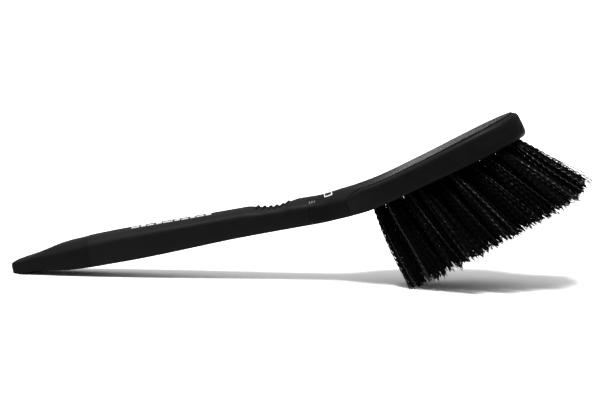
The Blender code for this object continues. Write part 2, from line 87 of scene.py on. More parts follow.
def table(rows, s):
    if s <= rows[0][0]:
        return rows[0][1]
    if s >= rows[-1][0]:
        return rows[-1][1]
    k = max(i for i in range(len(rows) - 1) if rows[i][0] <= s)
    (x0, y0), (x1, y1) = rows[k], rows[k + 1]
    d = (y1 - y0) / (x1 - x0)

    def slope(i):
        if i <= 0 or i >= len(rows) - 1:
            return 0.0
        a = (rows[i][1] - rows[i - 1][1]) / (rows[i][0] - rows[i - 1][0])
        b = (rows[i + 1][1] - rows[i][1]) / (rows[i + 1][0] - rows[i][0])
        return 0.0 if a * b <= 0 else 2 * a * b / (a + b)
    m0 = slope(k) if k > 0 else d
    m1 = slope(k + 1) if k + 1 < len(rows) - 1 else d
    if rows[k + 1][1] == rows[k][1]:
        m0 = m1 = 0.0
    t, h = (s - x0) / (x1 - x0), x1 - x0
    return ((2 * t**3 - 3 * t * t + 1) * y0 + (t**3 - 2 * t * t + t) * h * m0
            + (-2 * t**3 + 3 * t * t) * y1 + (t**3 - t * t) * h * m1)


def smooth(t):
    t = min(1.0, max(0.0, t))
    return t * t * (3 - 2 * t)


M0, M1 = math.tan(math.radians(HANDLE_DEG)), math.tan(math.radians(HEAD_DEG))
_x, _z, _s, SPINE = -20.0, SPINE_Z0 - 20.0 * M0, -20.0 * math.hypot(1, M0), []
while _x < 340:
    _m = M0 + (M1 - M0) * min(1, max(0, (_x - BEND_X0) / (BEND_X1 - BEND_X0)))
    SPINE.append((_s, _x, _z, _m))
    _x += 0.25
    _z += _m * 0.25
    _s += math.hypot(0.25, _m * 0.25)
SPINE = np.array(SPINE)
SHIFT = Vector((0, 0, 0))      # from the design's frame to the row's, set below


def wrap(s, y, n):
    x, z, m = (float(np.interp(s, SPINE[:, 0], SPINE[:, i])) for i in (1, 2, 3))
    q = math.hypot(1, m)
    return Vector(((x + n * m / q) * MM, y * MM, (z - n / q) * MM)) + SHIFT


def half_width(s):
    if s <= HEAD_MID:
        return table(HALF_WIDTH, s)
    t = min(1.0, (s - HEAD_MID) / HEAD_HALF_LEN)
    return HEAD_HALF_WID * max(0.0, 1 - t**2.35) ** (1 / 2.2)


def sole_n(s):
    if s <= FOOT_S1:
        a = math.radians(HANDLE_DEG)
        return (SPINE_Z0 + s * math.sin(a)) / math.cos(a)
    return table(BOTTOM, s)


def top_n(s):
    return table(TOP_DROP, s) + table(SCOOP, s)


def tuft_layout():
    spots = []
    for row, (count, pitch) in enumerate(ROW_TUFTS):
        s = ROW_S0 + ROW_PITCH * row - (1.0 if row == ROWS - 1 else 0.0)
        spots += [(row, k, s, pitch * (k - 0.5 * (count - 1))) for k in range(count)]
    return spots


def tuft_axes(s, y):
    base = wrap(s, y, sole_n(s))
    along = (wrap(s + 1, y, 0) - wrap(s - 1, y, 0)).normalized()
    down = Vector((along.z, 0, -along.x))
    t = max(0.0, (s - ROW_S0) / (ROW_PITCH * (ROWS - 1)))
    fan = math.radians(HEEL_DEG + FAN_DEG * t**FAN_POW)
    side = math.radians(SIDE_DEG) * y / 24.0
    axis = (down + along * math.tan(fan) + Vector((0, math.tan(side), 0))).normalized()
    u = (along - axis * along.dot(axis)).normalized()
    v = axis.cross(u).normalized()
    if v.y < 0:
        v = -v
    return base, axis, u, v, along, down


# the design's place in the row frame, read from the anchors that the frame holds
_gap = []
for row, k, s, y in tuft_layout():
    lo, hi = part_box("anchor_%02d_%d" % (row + 1, k + 1))
    base, axis, *_ = tuft_axes(s, y)
    _gap.append((lo + hi) * 0.5 - (base - axis * (HOLE_DEPTH - 2.6) * MM))
SHIFT = sum(_gap, Vector()) / len(_gap)


# ---- mesh helpers ----------------------------------------------------------
def corner(p, a, b, r, k=5):
    """Points that round corner p between a and b: a quadratic arc that starts r before it."""
    p, a, b = Vector(p), Vector(a), Vector(b)
    ra = min(r, (a - p).length * 0.49)
    rb = min(r, (b - p).length * 0.49)
    p0, p2 = p + (a - p).normalized() * ra, p + (b - p).normalized() * rb
    return [tuple(p0 * (1 - t)**2 + p * 2 * t * (1 - t) + p2 * t * t) for t in [i / (k - 1) for i in range(k)]]


def outline(step=1.0, s_from=None, s_to=None, extra=()):
    """One side of the plan, from butt to toe: (s, w, ns, nw)."""
    toe = HEAD_MID + HEAD_HALF_LEN
    raw = []
    if s_from is None:
        rc, w0 = 4.6, half_width(BUTT_S)
        raw = [(BUTT_S, w) for w in np.linspace(0, w0 - rc, 6)]
        for k in range(1, 13):
            a = math.radians(90 * k / 12)
            raw.append((BUTT_S + rc * (1 - math.cos(a)) * 0.9, w0 - rc * (1 - math.sin(a))))
        s_from = raw[-1][0] + 0.6
    end = HEAD_MID if s_to is None else s_to
    n = max(2, int(round((end - s_from) / step)))
    stations = sorted(set([round(v, 4) for v in np.linspace(s_from, end, n + 1)] + list(extra)))
    raw += [(s, half_width(s)) for s in stations if s_from <= s <= end]
    if s_to is None:
        for k in range(1, 60):
            s = HEAD_MID + HEAD_HALF_LEN * math.sin(0.5 * math.pi * k / 60) ** 0.93
            raw.append((s, half_width(s)))
        raw.append((toe, 0.0))
    out = []
    for i, (s, w) in enumerate(raw):
        if w == 0.0:
            out.append((s, w, -1.0 if i == 0 else 1.0, 0.0))
            continue
        a, b = raw[max(0, i - 1)], raw[min(len(raw) - 1, i + 1)]
        ds, dw = b[0] - a[0], b[1] - a[1]
        q = math.hypot(ds, dw)
        out.append((s, w, -dw / q, ds / q))
    return out


def crease_r(s):
    """Reach of the rounding where the top chamfer meets the side."""
    return 3.4 - 1.2 * smooth((s - 200) / 22.0)


def body_profile(s, d, sink=0.0):
    """Edge profile in (absolute inward offset, depth), from the top flat to the sole."""
    cw, cd, fr = table(CHAMFER_W, s), table(CHAMFER_D, s), table(FOOT_R, s)
    t, b = top_n(s), sole_n(s)
    cd, fr = min(cd, (b - t) * 0.45), min(fr, (b - t) * 0.45)
    if sink:
        t, b, cw, cd, fr = t + sink, b - sink, d + cw * 0.8, cd * 0.8, fr * 0.8
        A, B = (cw, t), (d, t + cd)
    else:
        za = t + (cd * (1 - d / cw) if d < cw else 0.0)
        A, B = (max(cw, d + 0.28), t), (d, max(za, t + 0.28))
    C = (d + 0.15, b)
    start, end = (A[0] + 3.2, t), (C[0] + fr * 1.15 + 0.6, b)
    pts = [start] + corner(A, start, B, 1.5) + corner(B, A, C, crease_r(s) if d < cw else 0.3, 7)
    pts += corner(C, B, end, fr * 1.15, 7) + [end]
    return pts


def skin(columns, name, close_ends=False):
    """Mesh from columns of (left points, right points); the strips between them close it."""
    verts, faces, index = [], [], {}

    def put(p):
        key = (round(p.x * 1e7), round(p.y * 1e7), round(p.z * 1e7))
        if key not in index:
            index[key] = len(verts)
            verts.append(p)
        return index[key]
    cols = [[[put(p) for p in side] for side in col] for col in columns]
    rings = len(cols[0][0])

    def face(ids):
        out = []
        for i in ids:
            if i not in out:
                out.append(i)
        if len(out) > 2:
            faces.append(out)
    for a, b in zip(cols, cols[1:]):
        for k in range(rings - 1):
            face([a[0][k + 1], b[0][k + 1], b[0][k], a[0][k]])
            face([a[1][k], b[1][k], b[1][k + 1], a[1][k + 1]])
        face([a[0][0], b[0][0], b[1][0], a[1][0]])
        face([a[1][-1], b[1][-1], b[0][-1], a[0][-1]])
    if close_ends:
        for col, turn in ((cols[0], 1), (cols[-1], -1)):
            loop = col[0] + col[1][::-1]
            face(loop[::turn])
    return mesh_object(name, verts, faces)


def mesh_object(name, verts, faces, smooth_deg=30):
    me = bpy.data.meshes.new(name)
    me.from_pydata([tuple(v) for v in verts], [], faces)
    bm = bmesh.new()
    bm.from_mesh(me)
    bmesh.ops.recalc_face_normals(bm, faces=bm.faces)
    bm.to_mesh(me)
    bm.free()
    me.shade_smooth()
    me.set_sharp_from_angle(angle=math.radians(smooth_deg))
    ob = bpy.data.objects.new(name, me)
    bpy.context.scene.collection.objects.link(ob)
    return ob


def paddle(name, line, inset, sink=lambda s: 0.0, close_ends=False):
    columns = []
    for s, w, ns, nw in line:
        d = inset(s)
        prof = body_profile(s, d, sink(s))
        t, b, low = top_n(s), sole_n(s), table(CHAMFER_D, s)
        cols = ([], [])
        for o, n in prof:
            ss = s - ns * o
            if n < 0.5 * (t + b):
                # the thumb scoop runs out at the lower edge of the chamfer
                n1 = n - t + top_n(ss) - table(SCOOP, ss) * min(1.0, max(0.0, (n - t - sink(s)) / low))
            else:
                n1 = n - b + sole_n(ss)
            yy = max(0.0, w - nw * o)
            cols[0].append(wrap(ss, yy, n1))
            cols[1].append(wrap(ss, -yy, n1))
        columns.append(cols)
    return skin(columns, name, close_ends)


def drop(ob):
    me = ob.data
    bpy.data.objects.remove(ob)
    if me.users == 0:
        bpy.data.meshes.remove(me)


def boolean(ob, tools, operation='DIFFERENCE'):
    for tool in tools:
        mod = ob.modifiers.new("b", 'BOOLEAN')
        mod.operation, mod.solver, mod.object = operation, 'EXACT', tool
    dg = bpy.context.evaluated_depsgraph_get()
    me = bpy.data.meshes.new_from_object(ob.evaluated_get(dg))
    ob.modifiers.clear()
    old = ob.data
    ob.data = me
    bpy.data.meshes.remove(old)
    for tool in tools:
        drop(tool)
    me.shade_smooth()
    me.set_sharp_from_angle(angle=math.radians(30))


def tidy(ob, dist=1e-6):
    bm = bmesh.new()
    bm.from_mesh(ob.data)
    bmesh.ops.remove_doubles(bm, verts=bm.verts, dist=dist)
    bmesh.ops.dissolve_degenerate(bm, edges=bm.edges, dist=dist)
    bm.to_mesh(ob.data)
    bm.free()
    ob.data.set_sharp_from_angle(angle=math.radians(30))


# ---- materials -------------------------------------------------------------
def new_material(name, base, rough, spec=0.5):
    mat = bpy.data.materials.new(name)
    mat.use_nodes = True
    nt = mat.node_tree
    bsdf = next((n for n in nt.nodes if n.type == 'BSDF_PRINCIPLED'), None)
    if bsdf is None:
        nt.nodes.clear()
        bsdf = nt.nodes.new('ShaderNodeBsdfPrincipled')
        out = nt.nodes.new('ShaderNodeOutputMaterial')
        nt.links.new(bsdf.outputs[0], out.inputs[0])
    bsdf.inputs["Base Color"].default_value = (*base, 1)
    bsdf.inputs["Roughness"].default_value = rough
    bsdf.inputs["Specular IOR Level"].default_value = spec
    return mat, nt, bsdf


def noise(nt, scale, detail=3.0, rough=0.5, stretch=None):
    co = nt.nodes.new('ShaderNodeTexCoord')
    tex = nt.nodes.new('ShaderNodeTexNoise')
    tex.inputs["Scale"].default_value = scale
    tex.inputs["Detail"].default_value = detail
    tex.inputs["Roughness"].default_value = rough
    if stretch:
        mp = nt.nodes.new('ShaderNodeMapping')
        mp.inputs["Scale"].default_value = stretch
        nt.links.new(co.outputs["Object"], mp.inputs["Vector"])
        nt.links.new(mp.outputs["Vector"], tex.inputs["Vector"])
    else:
        nt.links.new(co.outputs["Object"], tex.inputs["Vector"])
    return tex


def ramp(nt, source, stops):
    r = nt.nodes.new('ShaderNodeValToRGB')
    while len(r.color_ramp.elements) < len(stops):
        r.color_ramp.elements.new(0.5)
    for el, (p, c) in zip(r.color_ramp.elements, stops):
        el.position = p
        el.color = (*c, 1) if len(c) == 3 else c
    nt.links.new(source, r.inputs[0])
    return r


def bump(nt, bsdf, height, strength, distance, normal=None):
    b = nt.nodes.new('ShaderNodeBump')
    b.inputs["Strength"].default_value = strength
    b.inputs["Distance"].default_value = distance
    nt.links.new(height, b.inputs["Height"])
    if normal is not None:
        nt.links.new(normal, b.inputs["Normal"])
    nt.links.new(b.outputs[0], bsdf.inputs["Normal"])
    return b.outputs[0]


def grey(v, tint=0.02):
    return (v, v, v * (1 + tint))


def rubber_material(name, tone, rough):
    """Soft-touch rubber: matt, a fine pebble grain and faint handling marks."""
    mat, nt, bsdf = new_material(name, grey(tone), rough, 0.18)
    marks = noise(nt, 55, 4, 0.6)
    col = ramp(nt, marks.outputs[0], [(0.3, grey(tone * 0.82)), (0.7, grey(tone * 1.25))])
    nt.links.new(col.outputs[0], bsdf.inputs["Base Color"])
    patches = noise(nt, 160, 5, 0.6)
    rr = ramp(nt, patches.outputs[0], [(0.3, (rough - 0.07,) * 3), (0.72, (rough + 0.09,) * 3)])
    nt.links.new(rr.outputs[0], bsdf.inputs["Roughness"])
    grain = noise(nt, 2600, 2, 0.5)
    n = bump(nt, bsdf, grain.outputs[0], 0.35, 0.00006)
    wave = noise(nt, 420, 2, 0.5)
    bump(nt, bsdf, wave.outputs[0], 0.18, 0.00012, n)
    return mat


HEAD_X0 = wrap(212, 0, 0).x


def plastic_material(name, tone, rough):
    """Moulded polypropylene: satin, a little uneven, with fine spark texture."""
    mat, nt, bsdf = new_material(name, grey(tone), rough, 0.13)
    cloud = noise(nt, 70, 4, 0.55)
    col = ramp(nt, cloud.outputs[0], [(0.3, grey(tone * 0.85)), (0.7, grey(tone * 1.2))])
    nt.links.new(col.outputs[0], bsdf.inputs["Base Color"])
    patches = noise(nt, 240, 4, 0.6)
    rr = ramp(nt, patches.outputs[0], [(0.3, (rough - 0.05,) * 3), (0.7, (rough + 0.08,) * 3)])
    # the flat top of the head is polished, the neck and the butt are satin
    where = nt.nodes.new('ShaderNodeTexCoord')
    parts_of = nt.nodes.new('ShaderNodeSeparateXYZ')
    nt.links.new(where.outputs["Object"], parts_of.inputs[0])
    shine = nt.nodes.new('ShaderNodeMapRange')
    shine.inputs["From Min"].default_value = HEAD_X0 + 0.008
    shine.inputs["From Max"].default_value = HEAD_X0 + 0.034
    shine.inputs["To Min"].default_value = 1.0
    shine.inputs["To Max"].default_value = 0.5
    nt.links.new(parts_of.outputs[0], shine.inputs["Value"])
    times = nt.nodes.new('ShaderNodeMath')
    times.operation = 'MULTIPLY'
    nt.links.new(rr.outputs[0], times.inputs[0])
    nt.links.new(shine.outputs[0], times.inputs[1])
    nt.links.new(times.outputs[0], bsdf.inputs["Roughness"])
    spark = noise(nt, 1900, 3, 0.55)
    n = bump(nt, bsdf, spark.outputs[0], 0.2, 0.00004)
    sag = noise(nt, 60, 1, 0.4)
    bump(nt, bsdf, sag.outputs[0], 0.12, 0.0003, n)
    return mat


def fibre_material(name, low, high, rough, spec):
    """Extruded black filament: a touch lighter where it is scuffed."""
    mat, nt, bsdf = new_material(name, grey(low), rough, spec)
    streak = noise(nt, 900, 2, 0.5)
    col = ramp(nt, streak.outputs[0], [(0.35, grey(low)), (0.75, grey(high))])
    nt.links.new(col.outputs[0], bsdf.inputs["Base Color"])
    return mat


def steel_material():
    mat, nt, bsdf = new_material("anchor_steel_look", (0.6, 0.6, 0.58), 0.35, 0.5)
    bsdf.inputs["Metallic"].default_value = 1.0
    cloud = noise(nt, 1500, 4, 0.6)
    col = ramp(nt, cloud.outputs[0], [(0.3, (0.48, 0.48, 0.47)), (0.7, (0.68, 0.68, 0.66))])
    nt.links.new(col.outputs[0], bsdf.inputs["Base Color"])
    rr = ramp(nt, cloud.outputs[0], [(0.3, (0.28,) * 3), (0.7, (0.46,) * 3)])
    nt.links.new(rr.outputs[0], bsdf.inputs["Roughness"])
    return mat


def ink_material(name="print_ink_look", tone=0.86):
    mat, nt, bsdf = new_material(name, (tone,) * 3, 0.45, 0.4)
    cloud = noise(nt, 900, 3, 0.6)
    col = ramp(nt, cloud.outputs[0], [(0.3, (tone * 0.93,) * 3), (0.7, (tone * 1.04,) * 3)])
    nt.links.new(col.outputs[0], bsdf.inputs["Base Color"])
    return mat


def dress(ob, mat, slot_name, *nodes):
    ob.data.materials.clear()
    ob.data.materials.append(mat)
    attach(ob, "root")
    if nodes:
        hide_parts(*nodes)
    return ob


# ---- core --------------------------------------------------------------------
def band_d(s):
    return 0.5 + (BAND_WALL - 0.5) * smooth((s - BAND_S0) / 11.0)


def core_inset(s):
    if GRIP_S0 < s < GRIP_S1:
        return GRIP_WALL
    if s > BAND_S0 - 0.3:
        return band_d(s) + SEAM
    return 0.0


core_line = outline(1.0, extra=[GRIP_S0 - 0.02, GRIP_S0 + 0.02, GRIP_S1 - 0.02, GRIP_S1 + 0.02,
                                BAND_S0 - 0.32, BAND_S0 - 0.28])
core = paddle("core_body", core_line, core_inset,
              lambda s: GRIP_WALL if GRIP_S0 < s < GRIP_S1 else 0.0)

spots = tuft_layout()
drill = bmesh.new()
for row, k, s, y in spots:
    base, axis, u, v, along, down = tuft_axes(s, y)
    made = bmesh.ops.create_cone(drill, cap_ends=True, segments=20, radius1=HOLE_R * MM, radius2=HOLE_R * MM,
                                 depth=(HOLE_DEPTH + 3.0) * MM)
    m = Matrix.Identity(4)
    w = u.cross(v)
    for i, vec in enumerate((u, v, w)):
        m.col[i][:3] = vec
    m.col[3][:3] = base - axis * (HOLE_DEPTH - 3.0) * 0.5 * MM
    bmesh.ops.transform(drill, matrix=m, verts=made["verts"])
drill_mesh = bpy.data.meshes.new("drill")
drill.normal_update()
bmesh.ops.recalc_face_normals(drill, faces=drill.faces)
drill.to_mesh(drill_mesh)
drill.free()
drill_ob = bpy.data.objects.new("drill", drill_mesh)
bpy.context.scene.collection.objects.link(drill_ob)
boolean(core, [drill_ob])
dress(core, plastic_material("core_plastic_look", 0.0044, 0.44), "core_plastic", "core")

# ---- grip ----------------------------------------------------------------------
grip_line = outline(0.8, GRIP_S0 + 0.08, GRIP_S1 - 0.12)
grip = paddle("grip_sleeve", grip_line, lambda s: 0.0, close_ends=True)
bore = paddle("grip_bore", outline(4.0, GRIP_S0 - 5, GRIP_S1 + 5), lambda s: GRIP_WALL - GAP,
              lambda s: GRIP_WALL - GAP, close_ends=True)
ribs = []
for k in range(RIB_COUNT):
    s = RIB_S0 + RIB_PITCH * k
    p = wrap(s, 0, top_n(s) + 0.05)
    along = (wrap(s + 1, 0, top_n(s + 1)) - wrap(s - 1, 0, top_n(s - 1))).normalized()
    up = Vector((-along.z, 0, along.x))
    verts, faces = [], []
    seg, nose = 20, 6
    spine_y, radii = [], []
    half = RIB_LEN * 0.5
    for j in range(nose + 1):
        a = 0.5 * math.pi * j / nose
        spine_y.append(-half + RIB_R * (1 - math.sin(a)) if j else -half + RIB_R)
    ring_list = []
    for j in range(1, nose + 1):
        a = 0.5 * math.pi * j / nose
        ring_list.append((-half + RIB_R - RIB_R * math.cos(a), RIB_R * math.sin(a)))
    ring_list += [(-yy, rr) for yy, rr in reversed(ring_list)]
    for yy, rr in ring_list:
        for q in range(seg):
            a = 2 * math.pi * q / seg
            verts.append(p + (Vector((0, 1, 0)) * yy + along * rr * math.cos(a) + up * rr * math.sin(a)) * MM)
    for j in range(len(ring_list) - 1):
        for q in range(seg):
            faces.append([j * seg + q, j * seg + (q + 1) % seg, (j + 1) * seg + (q + 1) % seg, (j + 1) * seg + q])
    faces.append(list(range(seg))[::-1])
    faces.append(list(range((len(ring_list) - 1) * seg, len(ring_list) * seg)))
    ribs.append(mesh_object("rib", verts, faces))
boolean(grip, ribs, 'UNION')
boolean(grip, [bore])
dress(grip, rubber_material("grip_rubber_look", 0.0045, 0.50), "grip_rubber", "grip")

# ---- bumper ----------------------------------------------------------------------
side = outline(1.0, BAND_S0, None)
path = [(o, 1) for o in side] + [(o, -1) for o in side[-2::-1]]
verts, faces = [], []
count = None
for (s, w, ns, nw), sign in path:
    d = band_d(s)
    cw, cd = table(CHAMFER_W, s), table(CHAMFER_D, s)
    b, fr = sole_n(s) - 0.3, min(table(FOOT_R, s), 4.8)
    # the rim stands a step below the top flat of the head
    zi = (cd * (1 - d / cw) if d < cw else 0.0) + 0.3 + (RIM_STEP - 0.15 + 0.3 * smooth((s - 262) / 30.0)) * smooth((s - 214) / 14.0)
    # the toe is rounded over more generously
    toe = smooth((s - 300) / 16.0)
    kf, cd = 0.5 + 0.22 * toe, cd + 0.7 * toe
    I1, K = (d, zi), (d * kf, max(zi + 0.12, (cd * (1 - d * kf / cw) + 0.1) * (1 - toe)))
    B, C, I2 = (0.0, max(cd + 0.1, K[1] + 1.3)), (0.12, b), (d, b)
    ring = [I1] + corner(K, I1, B, 1.0, 5) + corner(B, K, C, crease_r(s) + 0.8 * toe, 9)
    ring += corner(C, B, (max(d, 0.12 + fr * 1.1), b), fr * 1.1 if d > 2 else min(fr, d * 0.9), 7)
    ring = [(min(o, d), n) for o, n in ring] + [I2]
    count = len(ring)
    for o, n in ring:
        ss = s - ns * o
        verts.append(wrap(ss, sign * (w - nw * o), n + top_n(ss) if n < 0.5 * b else n - b + sole_n(ss) - 0.3))
for j in range(len(path) - 1):
    for k in range(count):
        faces.append([j * count + k, j * count + (k + 1) % count, (j + 1) * count + (k + 1) % count, (j + 1) * count + k])
faces.append(list(range(count)))
faces.append(list(range((len(path) - 1) * count, len(path) * count))[::-1])
bumper = mesh_object("bumper_band", verts, faces, 34)
tidy(bumper)
dress(bumper, rubber_material("bumper_rubber_look", 0.0047, 0.48), "bumper_rubber", "head_bumper")


# ---- bristles: every filament is its own crimped tube --------------------------------
def trim_at(ss):
    return np.interp(ss, [r[0] for r in TRIM], [r[1] for r in TRIM])


FILAMENTS = 54
FIL_R = 0.29
CRIMP_L, CRIMP_A = 4.0, 0.36
SPREAD_U, SPREAD_V = 6.4, 5.4
POINTS = 72
SHINY_PAINTED_GLINT_SHARE = 0.14
fibre = fibre_material("bristle_fibre_look", 0.0009, 0.0024, 0.42, 0.07)
# the shiny strands are glossier and also get a much lighter base colour: a painted highlight for the sparse glints
# along the bristles
fibre_shiny_painted_glint = fibre_material("bristle_fibre_shiny_painted_glint_look", 0.012, 0.026, 0.22, 0.8)


def tuft_filaments(row, k, s, y):
    rng = np.random.default_rng(1000 + row * 37 + k)
    base, axis, u, v, along, down = tuft_axes(s, y)
    base, axis, u, v, along, down = (np.array(q) for q in (base, axis, u, v, along, down))
    n = FILAMENTS
    # places in the hole, evenly spread like a packed bundle
    i = np.arange(n) + 0.5
    r0 = 2.05 * np.sqrt(i / n)
    th = i * math.pi * (3 - math.sqrt(5)) + rng.uniform(0, 6.28)
    u0 = r0 * np.cos(th) + rng.normal(0, 0.08, n)
    v0 = r0 * np.sin(th) + rng.normal(0, 0.08, n)
    # the tips: flared, gathered in small locks
    u1 = u0 / 2.05 * SPREAD_U + rng.normal(0, 0.9, n)
    v1 = v0 / 2.05 * SPREAD_V + rng.normal(0, 0.9, n)
    # the outer side of the end rows is neat, their inner side closes up to the next row
    if row == 0:
        u1 = np.where(u1 < 0, u1 * 0.78, u1 * 1.35)
    if row == 1:
        u1 = np.where(u1 < 0, u1 * 1.25, u1)
    if row == ROWS - 2:
        u1 = np.where(u1 > 0, u1 * 1.15, u1)
    if row == ROWS - 1:
        u1 = np.where(u1 > 0, u1 * 0.58, u1 * 1.15)
    locks = 20
    lu, lv = rng.uniform(-1, 1, locks) * SPREAD_U, rng.uniform(-1, 1, locks) * SPREAD_V
    pick = np.argmin((u1[:, None] - lu)**2 + (v1[:, None] - lv)**2, axis=1)
    pull = rng.uniform(0.15, 0.65, n)
    u1, v1 = u1 + (lu[pick] - u1) * pull, v1 + (lv[pick] - v1) * pull
    stray = rng.random(n) < 0.06
    u1[stray] += rng.normal(0, 1.8, stray.sum())
    v1[stray] += rng.normal(0, 1.8, stray.sum())
    # cut length: every tip ends near the trimmed surface, lock by lock a little ragged
    rough = rng.normal(0, 0.85, n) + rng.normal(0.15, 0.8, locks)[pick]
    short = rng.random(n) < 0.14
    rough[short] -= rng.uniform(1.0, 5.0, short.sum())
    # a few loose ones stand out at the heel and over the toe
    loose = np.zeros(n, bool)
    if row in (0, ROWS - 1):
        few = 5 if row == 0 else 2
        loose[rng.choice(n, few, replace=False)] = True
        side = -1 if row == 0 else 1
        u1[loose] = side * rng.uniform(4.8, 7.2 if row == 0 else 5.9, few)
    length = np.full(n, 50.0)
    for _ in range(12):
        tip = axis * length[:, None] + u * (u1 - 0)[:, None] + v * v1[:, None]
        depth = sole_n(s) + tip @ down
        ss = s + tip @ along
        length += 0.5 * (trim_at(np.where(loose, np.minimum(ss, 341.0), ss)) + rough - depth) / float(axis @ down)
    # nothing reaches through the floor
    floor = 0.25 * MM
    tipz = base[2] + (axis[2] * length + u[2] * u1 + v[2] * v1) * MM
    over = np.maximum(0.0, floor - tipz) / MM
    length -= over / -axis[2]
    z = np.linspace(-2.5, 1.0, 3)[None, :-1] * np.ones((n, 1))
    t = np.linspace(0, 1, POINTS - 2)[None, :]
    z = np.concatenate([z, 1.0 + (length[:, None] - 1.0) * t], axis=1)
    f = np.clip(z / length[:, None], 0, 1)
    bend = f ** 0.78
    # near the sole the first two rows spread at once and hide the gap between them
    early = ((row == 0) & (u1 > 0)) | ((row == 1) & (u1 < 0))
    bend[early] = f[early] ** 0.33
    bow_u, bow_v = rng.normal(0, 0.5, n), rng.normal(0, 0.5, n)
    if row == 0:
        bow_u = np.where(u1 < 0, bow_u + u1 * 0.22, bow_u)
    bow = np.sin(math.pi * f)
    lam = CRIMP_L * (1 + rng.normal(0, 0.05, n))
    phase = rng.uniform(0, 6.28, n)
    turn = rng.uniform(0, 6.28, n)
    amp = CRIMP_A * np.clip(1 + rng.normal(0, 0.3, n), 0.4, 1.9)
    amp[loose] = 0.5
    grow = np.clip((z + 1.0) / 9.0, 0.0, 1.0)
    wave = amp[:, None] * grow * np.sin(2 * math.pi * z / lam[:, None] + phase[:, None])
    pu = u0[:, None] + (u1 - u0)[:, None] * bend + bow_u[:, None] * bow + wave * np.cos(turn)[:, None]
    pv = v0[:, None] + (v1 - v0)[:, None] * bend + bow_v[:, None] * bow + wave * np.sin(turn)[:, None]
    centre = base + (axis * z[..., None] + u * pu[..., None] + v * pv[..., None]) * MM
    spin = rng.uniform(0, 6.28, n)
    sides = 3
    rad = np.full((n, POINTS), FIL_R)
    rad[:, -1] = FIL_R * 0.7
    rings = []
    for q in range(sides):
        a = spin + 2 * math.pi * q / sides
        off = (u * np.cos(a)[:, None, None] + v * np.sin(a)[:, None, None]) * rad[..., None] * MM
        rings.append(centre + off)
    pts = np.stack(rings, axis=2)                     # filament, point, side
    pts[..., 2] = np.maximum(pts[..., 2], 0.05 * MM)
    return pts.reshape(-1, 3), n, sides, rng.random(n) < SHINY_PAINTED_GLINT_SHARE


def filament_mesh(name, batches):
    verts = np.concatenate([b[0] for b in batches])
    sides = batches[0][2]
    total = sum(b[1] for b in batches)
    start = np.arange(total) * POINTS * sides
    j = np.arange(POINTS - 1)
    quads = []
    for q in range(sides):
        a = j * sides + q
        b = j * sides + (q + 1) % sides
        quads.append(np.stack([a, b, b + sides, a + sides], axis=1))
    quads = np.concatenate(quads)
    quads = (start[:, None, None] + quads[None]).reshape(-1, 4)
    caps0 = start[:, None] + np.arange(sides)[::-1][None]
    caps1 = start[:, None] + (POINTS - 1) * sides + np.arange(sides)[None]
    caps = np.concatenate([caps0, caps1])
    me = bpy.data.meshes.new(name)
    me.vertices.add(len(verts))
    me.vertices.foreach_set("co", verts.astype(np.float32).ravel())
    loops = np.concatenate([quads.ravel(), caps.ravel()]).astype(np.int32)
    me.loops.add(len(loops))
    me.loops.foreach_set("vertex_index", loops)
    sizes = np.concatenate([np.full(len(quads), 4), np.full(len(caps), sides)]).astype(np.int32)
    starts = np.concatenate([[0], np.cumsum(sizes)[:-1]]).astype(np.int32)
    me.polygons.add(len(sizes))
    me.polygons.foreach_set("loop_start", starts)
    # the few strands that carry the painted highlight colour and the higher gloss take the second material
    glint = np.concatenate([b[3] for b in batches]).astype(np.int32)
    per = sides * (POINTS - 1)
    index = np.concatenate([np.repeat(glint, per), glint, glint]).astype(np.int32)
    me.materials.append(fibre)
    me.materials.append(fibre_shiny_painted_glint)
    me.polygons.foreach_set("material_index", index)
    me.update(calc_edges=True)
    me.validate()
    me.shade_smooth()
    ob = bpy.data.objects.new(name, me)
    bpy.context.scene.collection.objects.link(ob)
    return ob


for row in range(ROWS):
    batches = [tuft_filaments(row, k, s, y) for r, k, s, y in spots if r == row]
    ob = filament_mesh("bristles_%02d" % (row + 1), batches)
    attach(ob, "root")
    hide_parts("bristle_row_%02d" % (row + 1))

steel = steel_material()
for row, k, s, y in spots:
    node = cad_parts["anchor_%02d_%d" % (row + 1, k + 1)]
    node.data.materials.clear()
    node.data.materials.append(steel)

# ---- plain printed bars in place of the markings --------------------------------------
ink = ink_material()
PRINT_SKEW = 0.18


def bar(name, s0, s1, y0, y1, lift=0.06):
    """A thin printed bar on the top face, rounded at its corners."""
    r = min(0.6, (s1 - s0) * 0.3, (y1 - y0) * 0.3)
    loop = []
    for cx, cy, a0 in ((s1 - r, y1 - r, 0), (s0 + r, y1 - r, 90), (s0 + r, y0 + r, 180), (s1 - r, y0 + r, 270)):
        for i in range(5):
            a = math.radians(a0 + 90 * i / 4)
            loop.append((cx + r * math.cos(a), cy + r * math.sin(a)))
    n = len(loop)
    loop = [(a - PRINT_SKEW * b, b) for a, b in loop]
    verts = [wrap(a, b, top_n(a) - lift) for a, b in loop] + [wrap(a, b, top_n(a) - 0.01) for a, b in loop]
    faces = [list(range(n)), list(range(n, 2 * n))[::-1]]
    faces += [[k, k + n, (k + 1) % n + n, (k + 1) % n] for k in range(n)]
    ob = mesh_object(name, verts, faces)
    dress(ob, ink, "grip_rubber")
    return ob


s = 72.4
for k, (width, gap, near, far) in enumerate(((5.0, 0.9, -4.2, 1.8), (3.0, 0.8, -4.2, 6.6), (4.2, 1.1, -4.2, 1.2),
                                             (3.4, 0.8, -4.2, 6.8), (6.0, 1.0, -4.2, 1.6), (3.2, 0.9, -4.2, 4.0),
                                             (4.4, 1.0, -4.2, 1.2), (3.0, 0.8, -4.2, 6.8), (4.6, 0.9, -4.2, 1.6),
                                             (3.4, 0.0, -4.2, 7.0))):
    bar("print_bar_%d" % (k + 1), s, s + width * 1.07, near, far)
    s += (width + gap) * 1.07

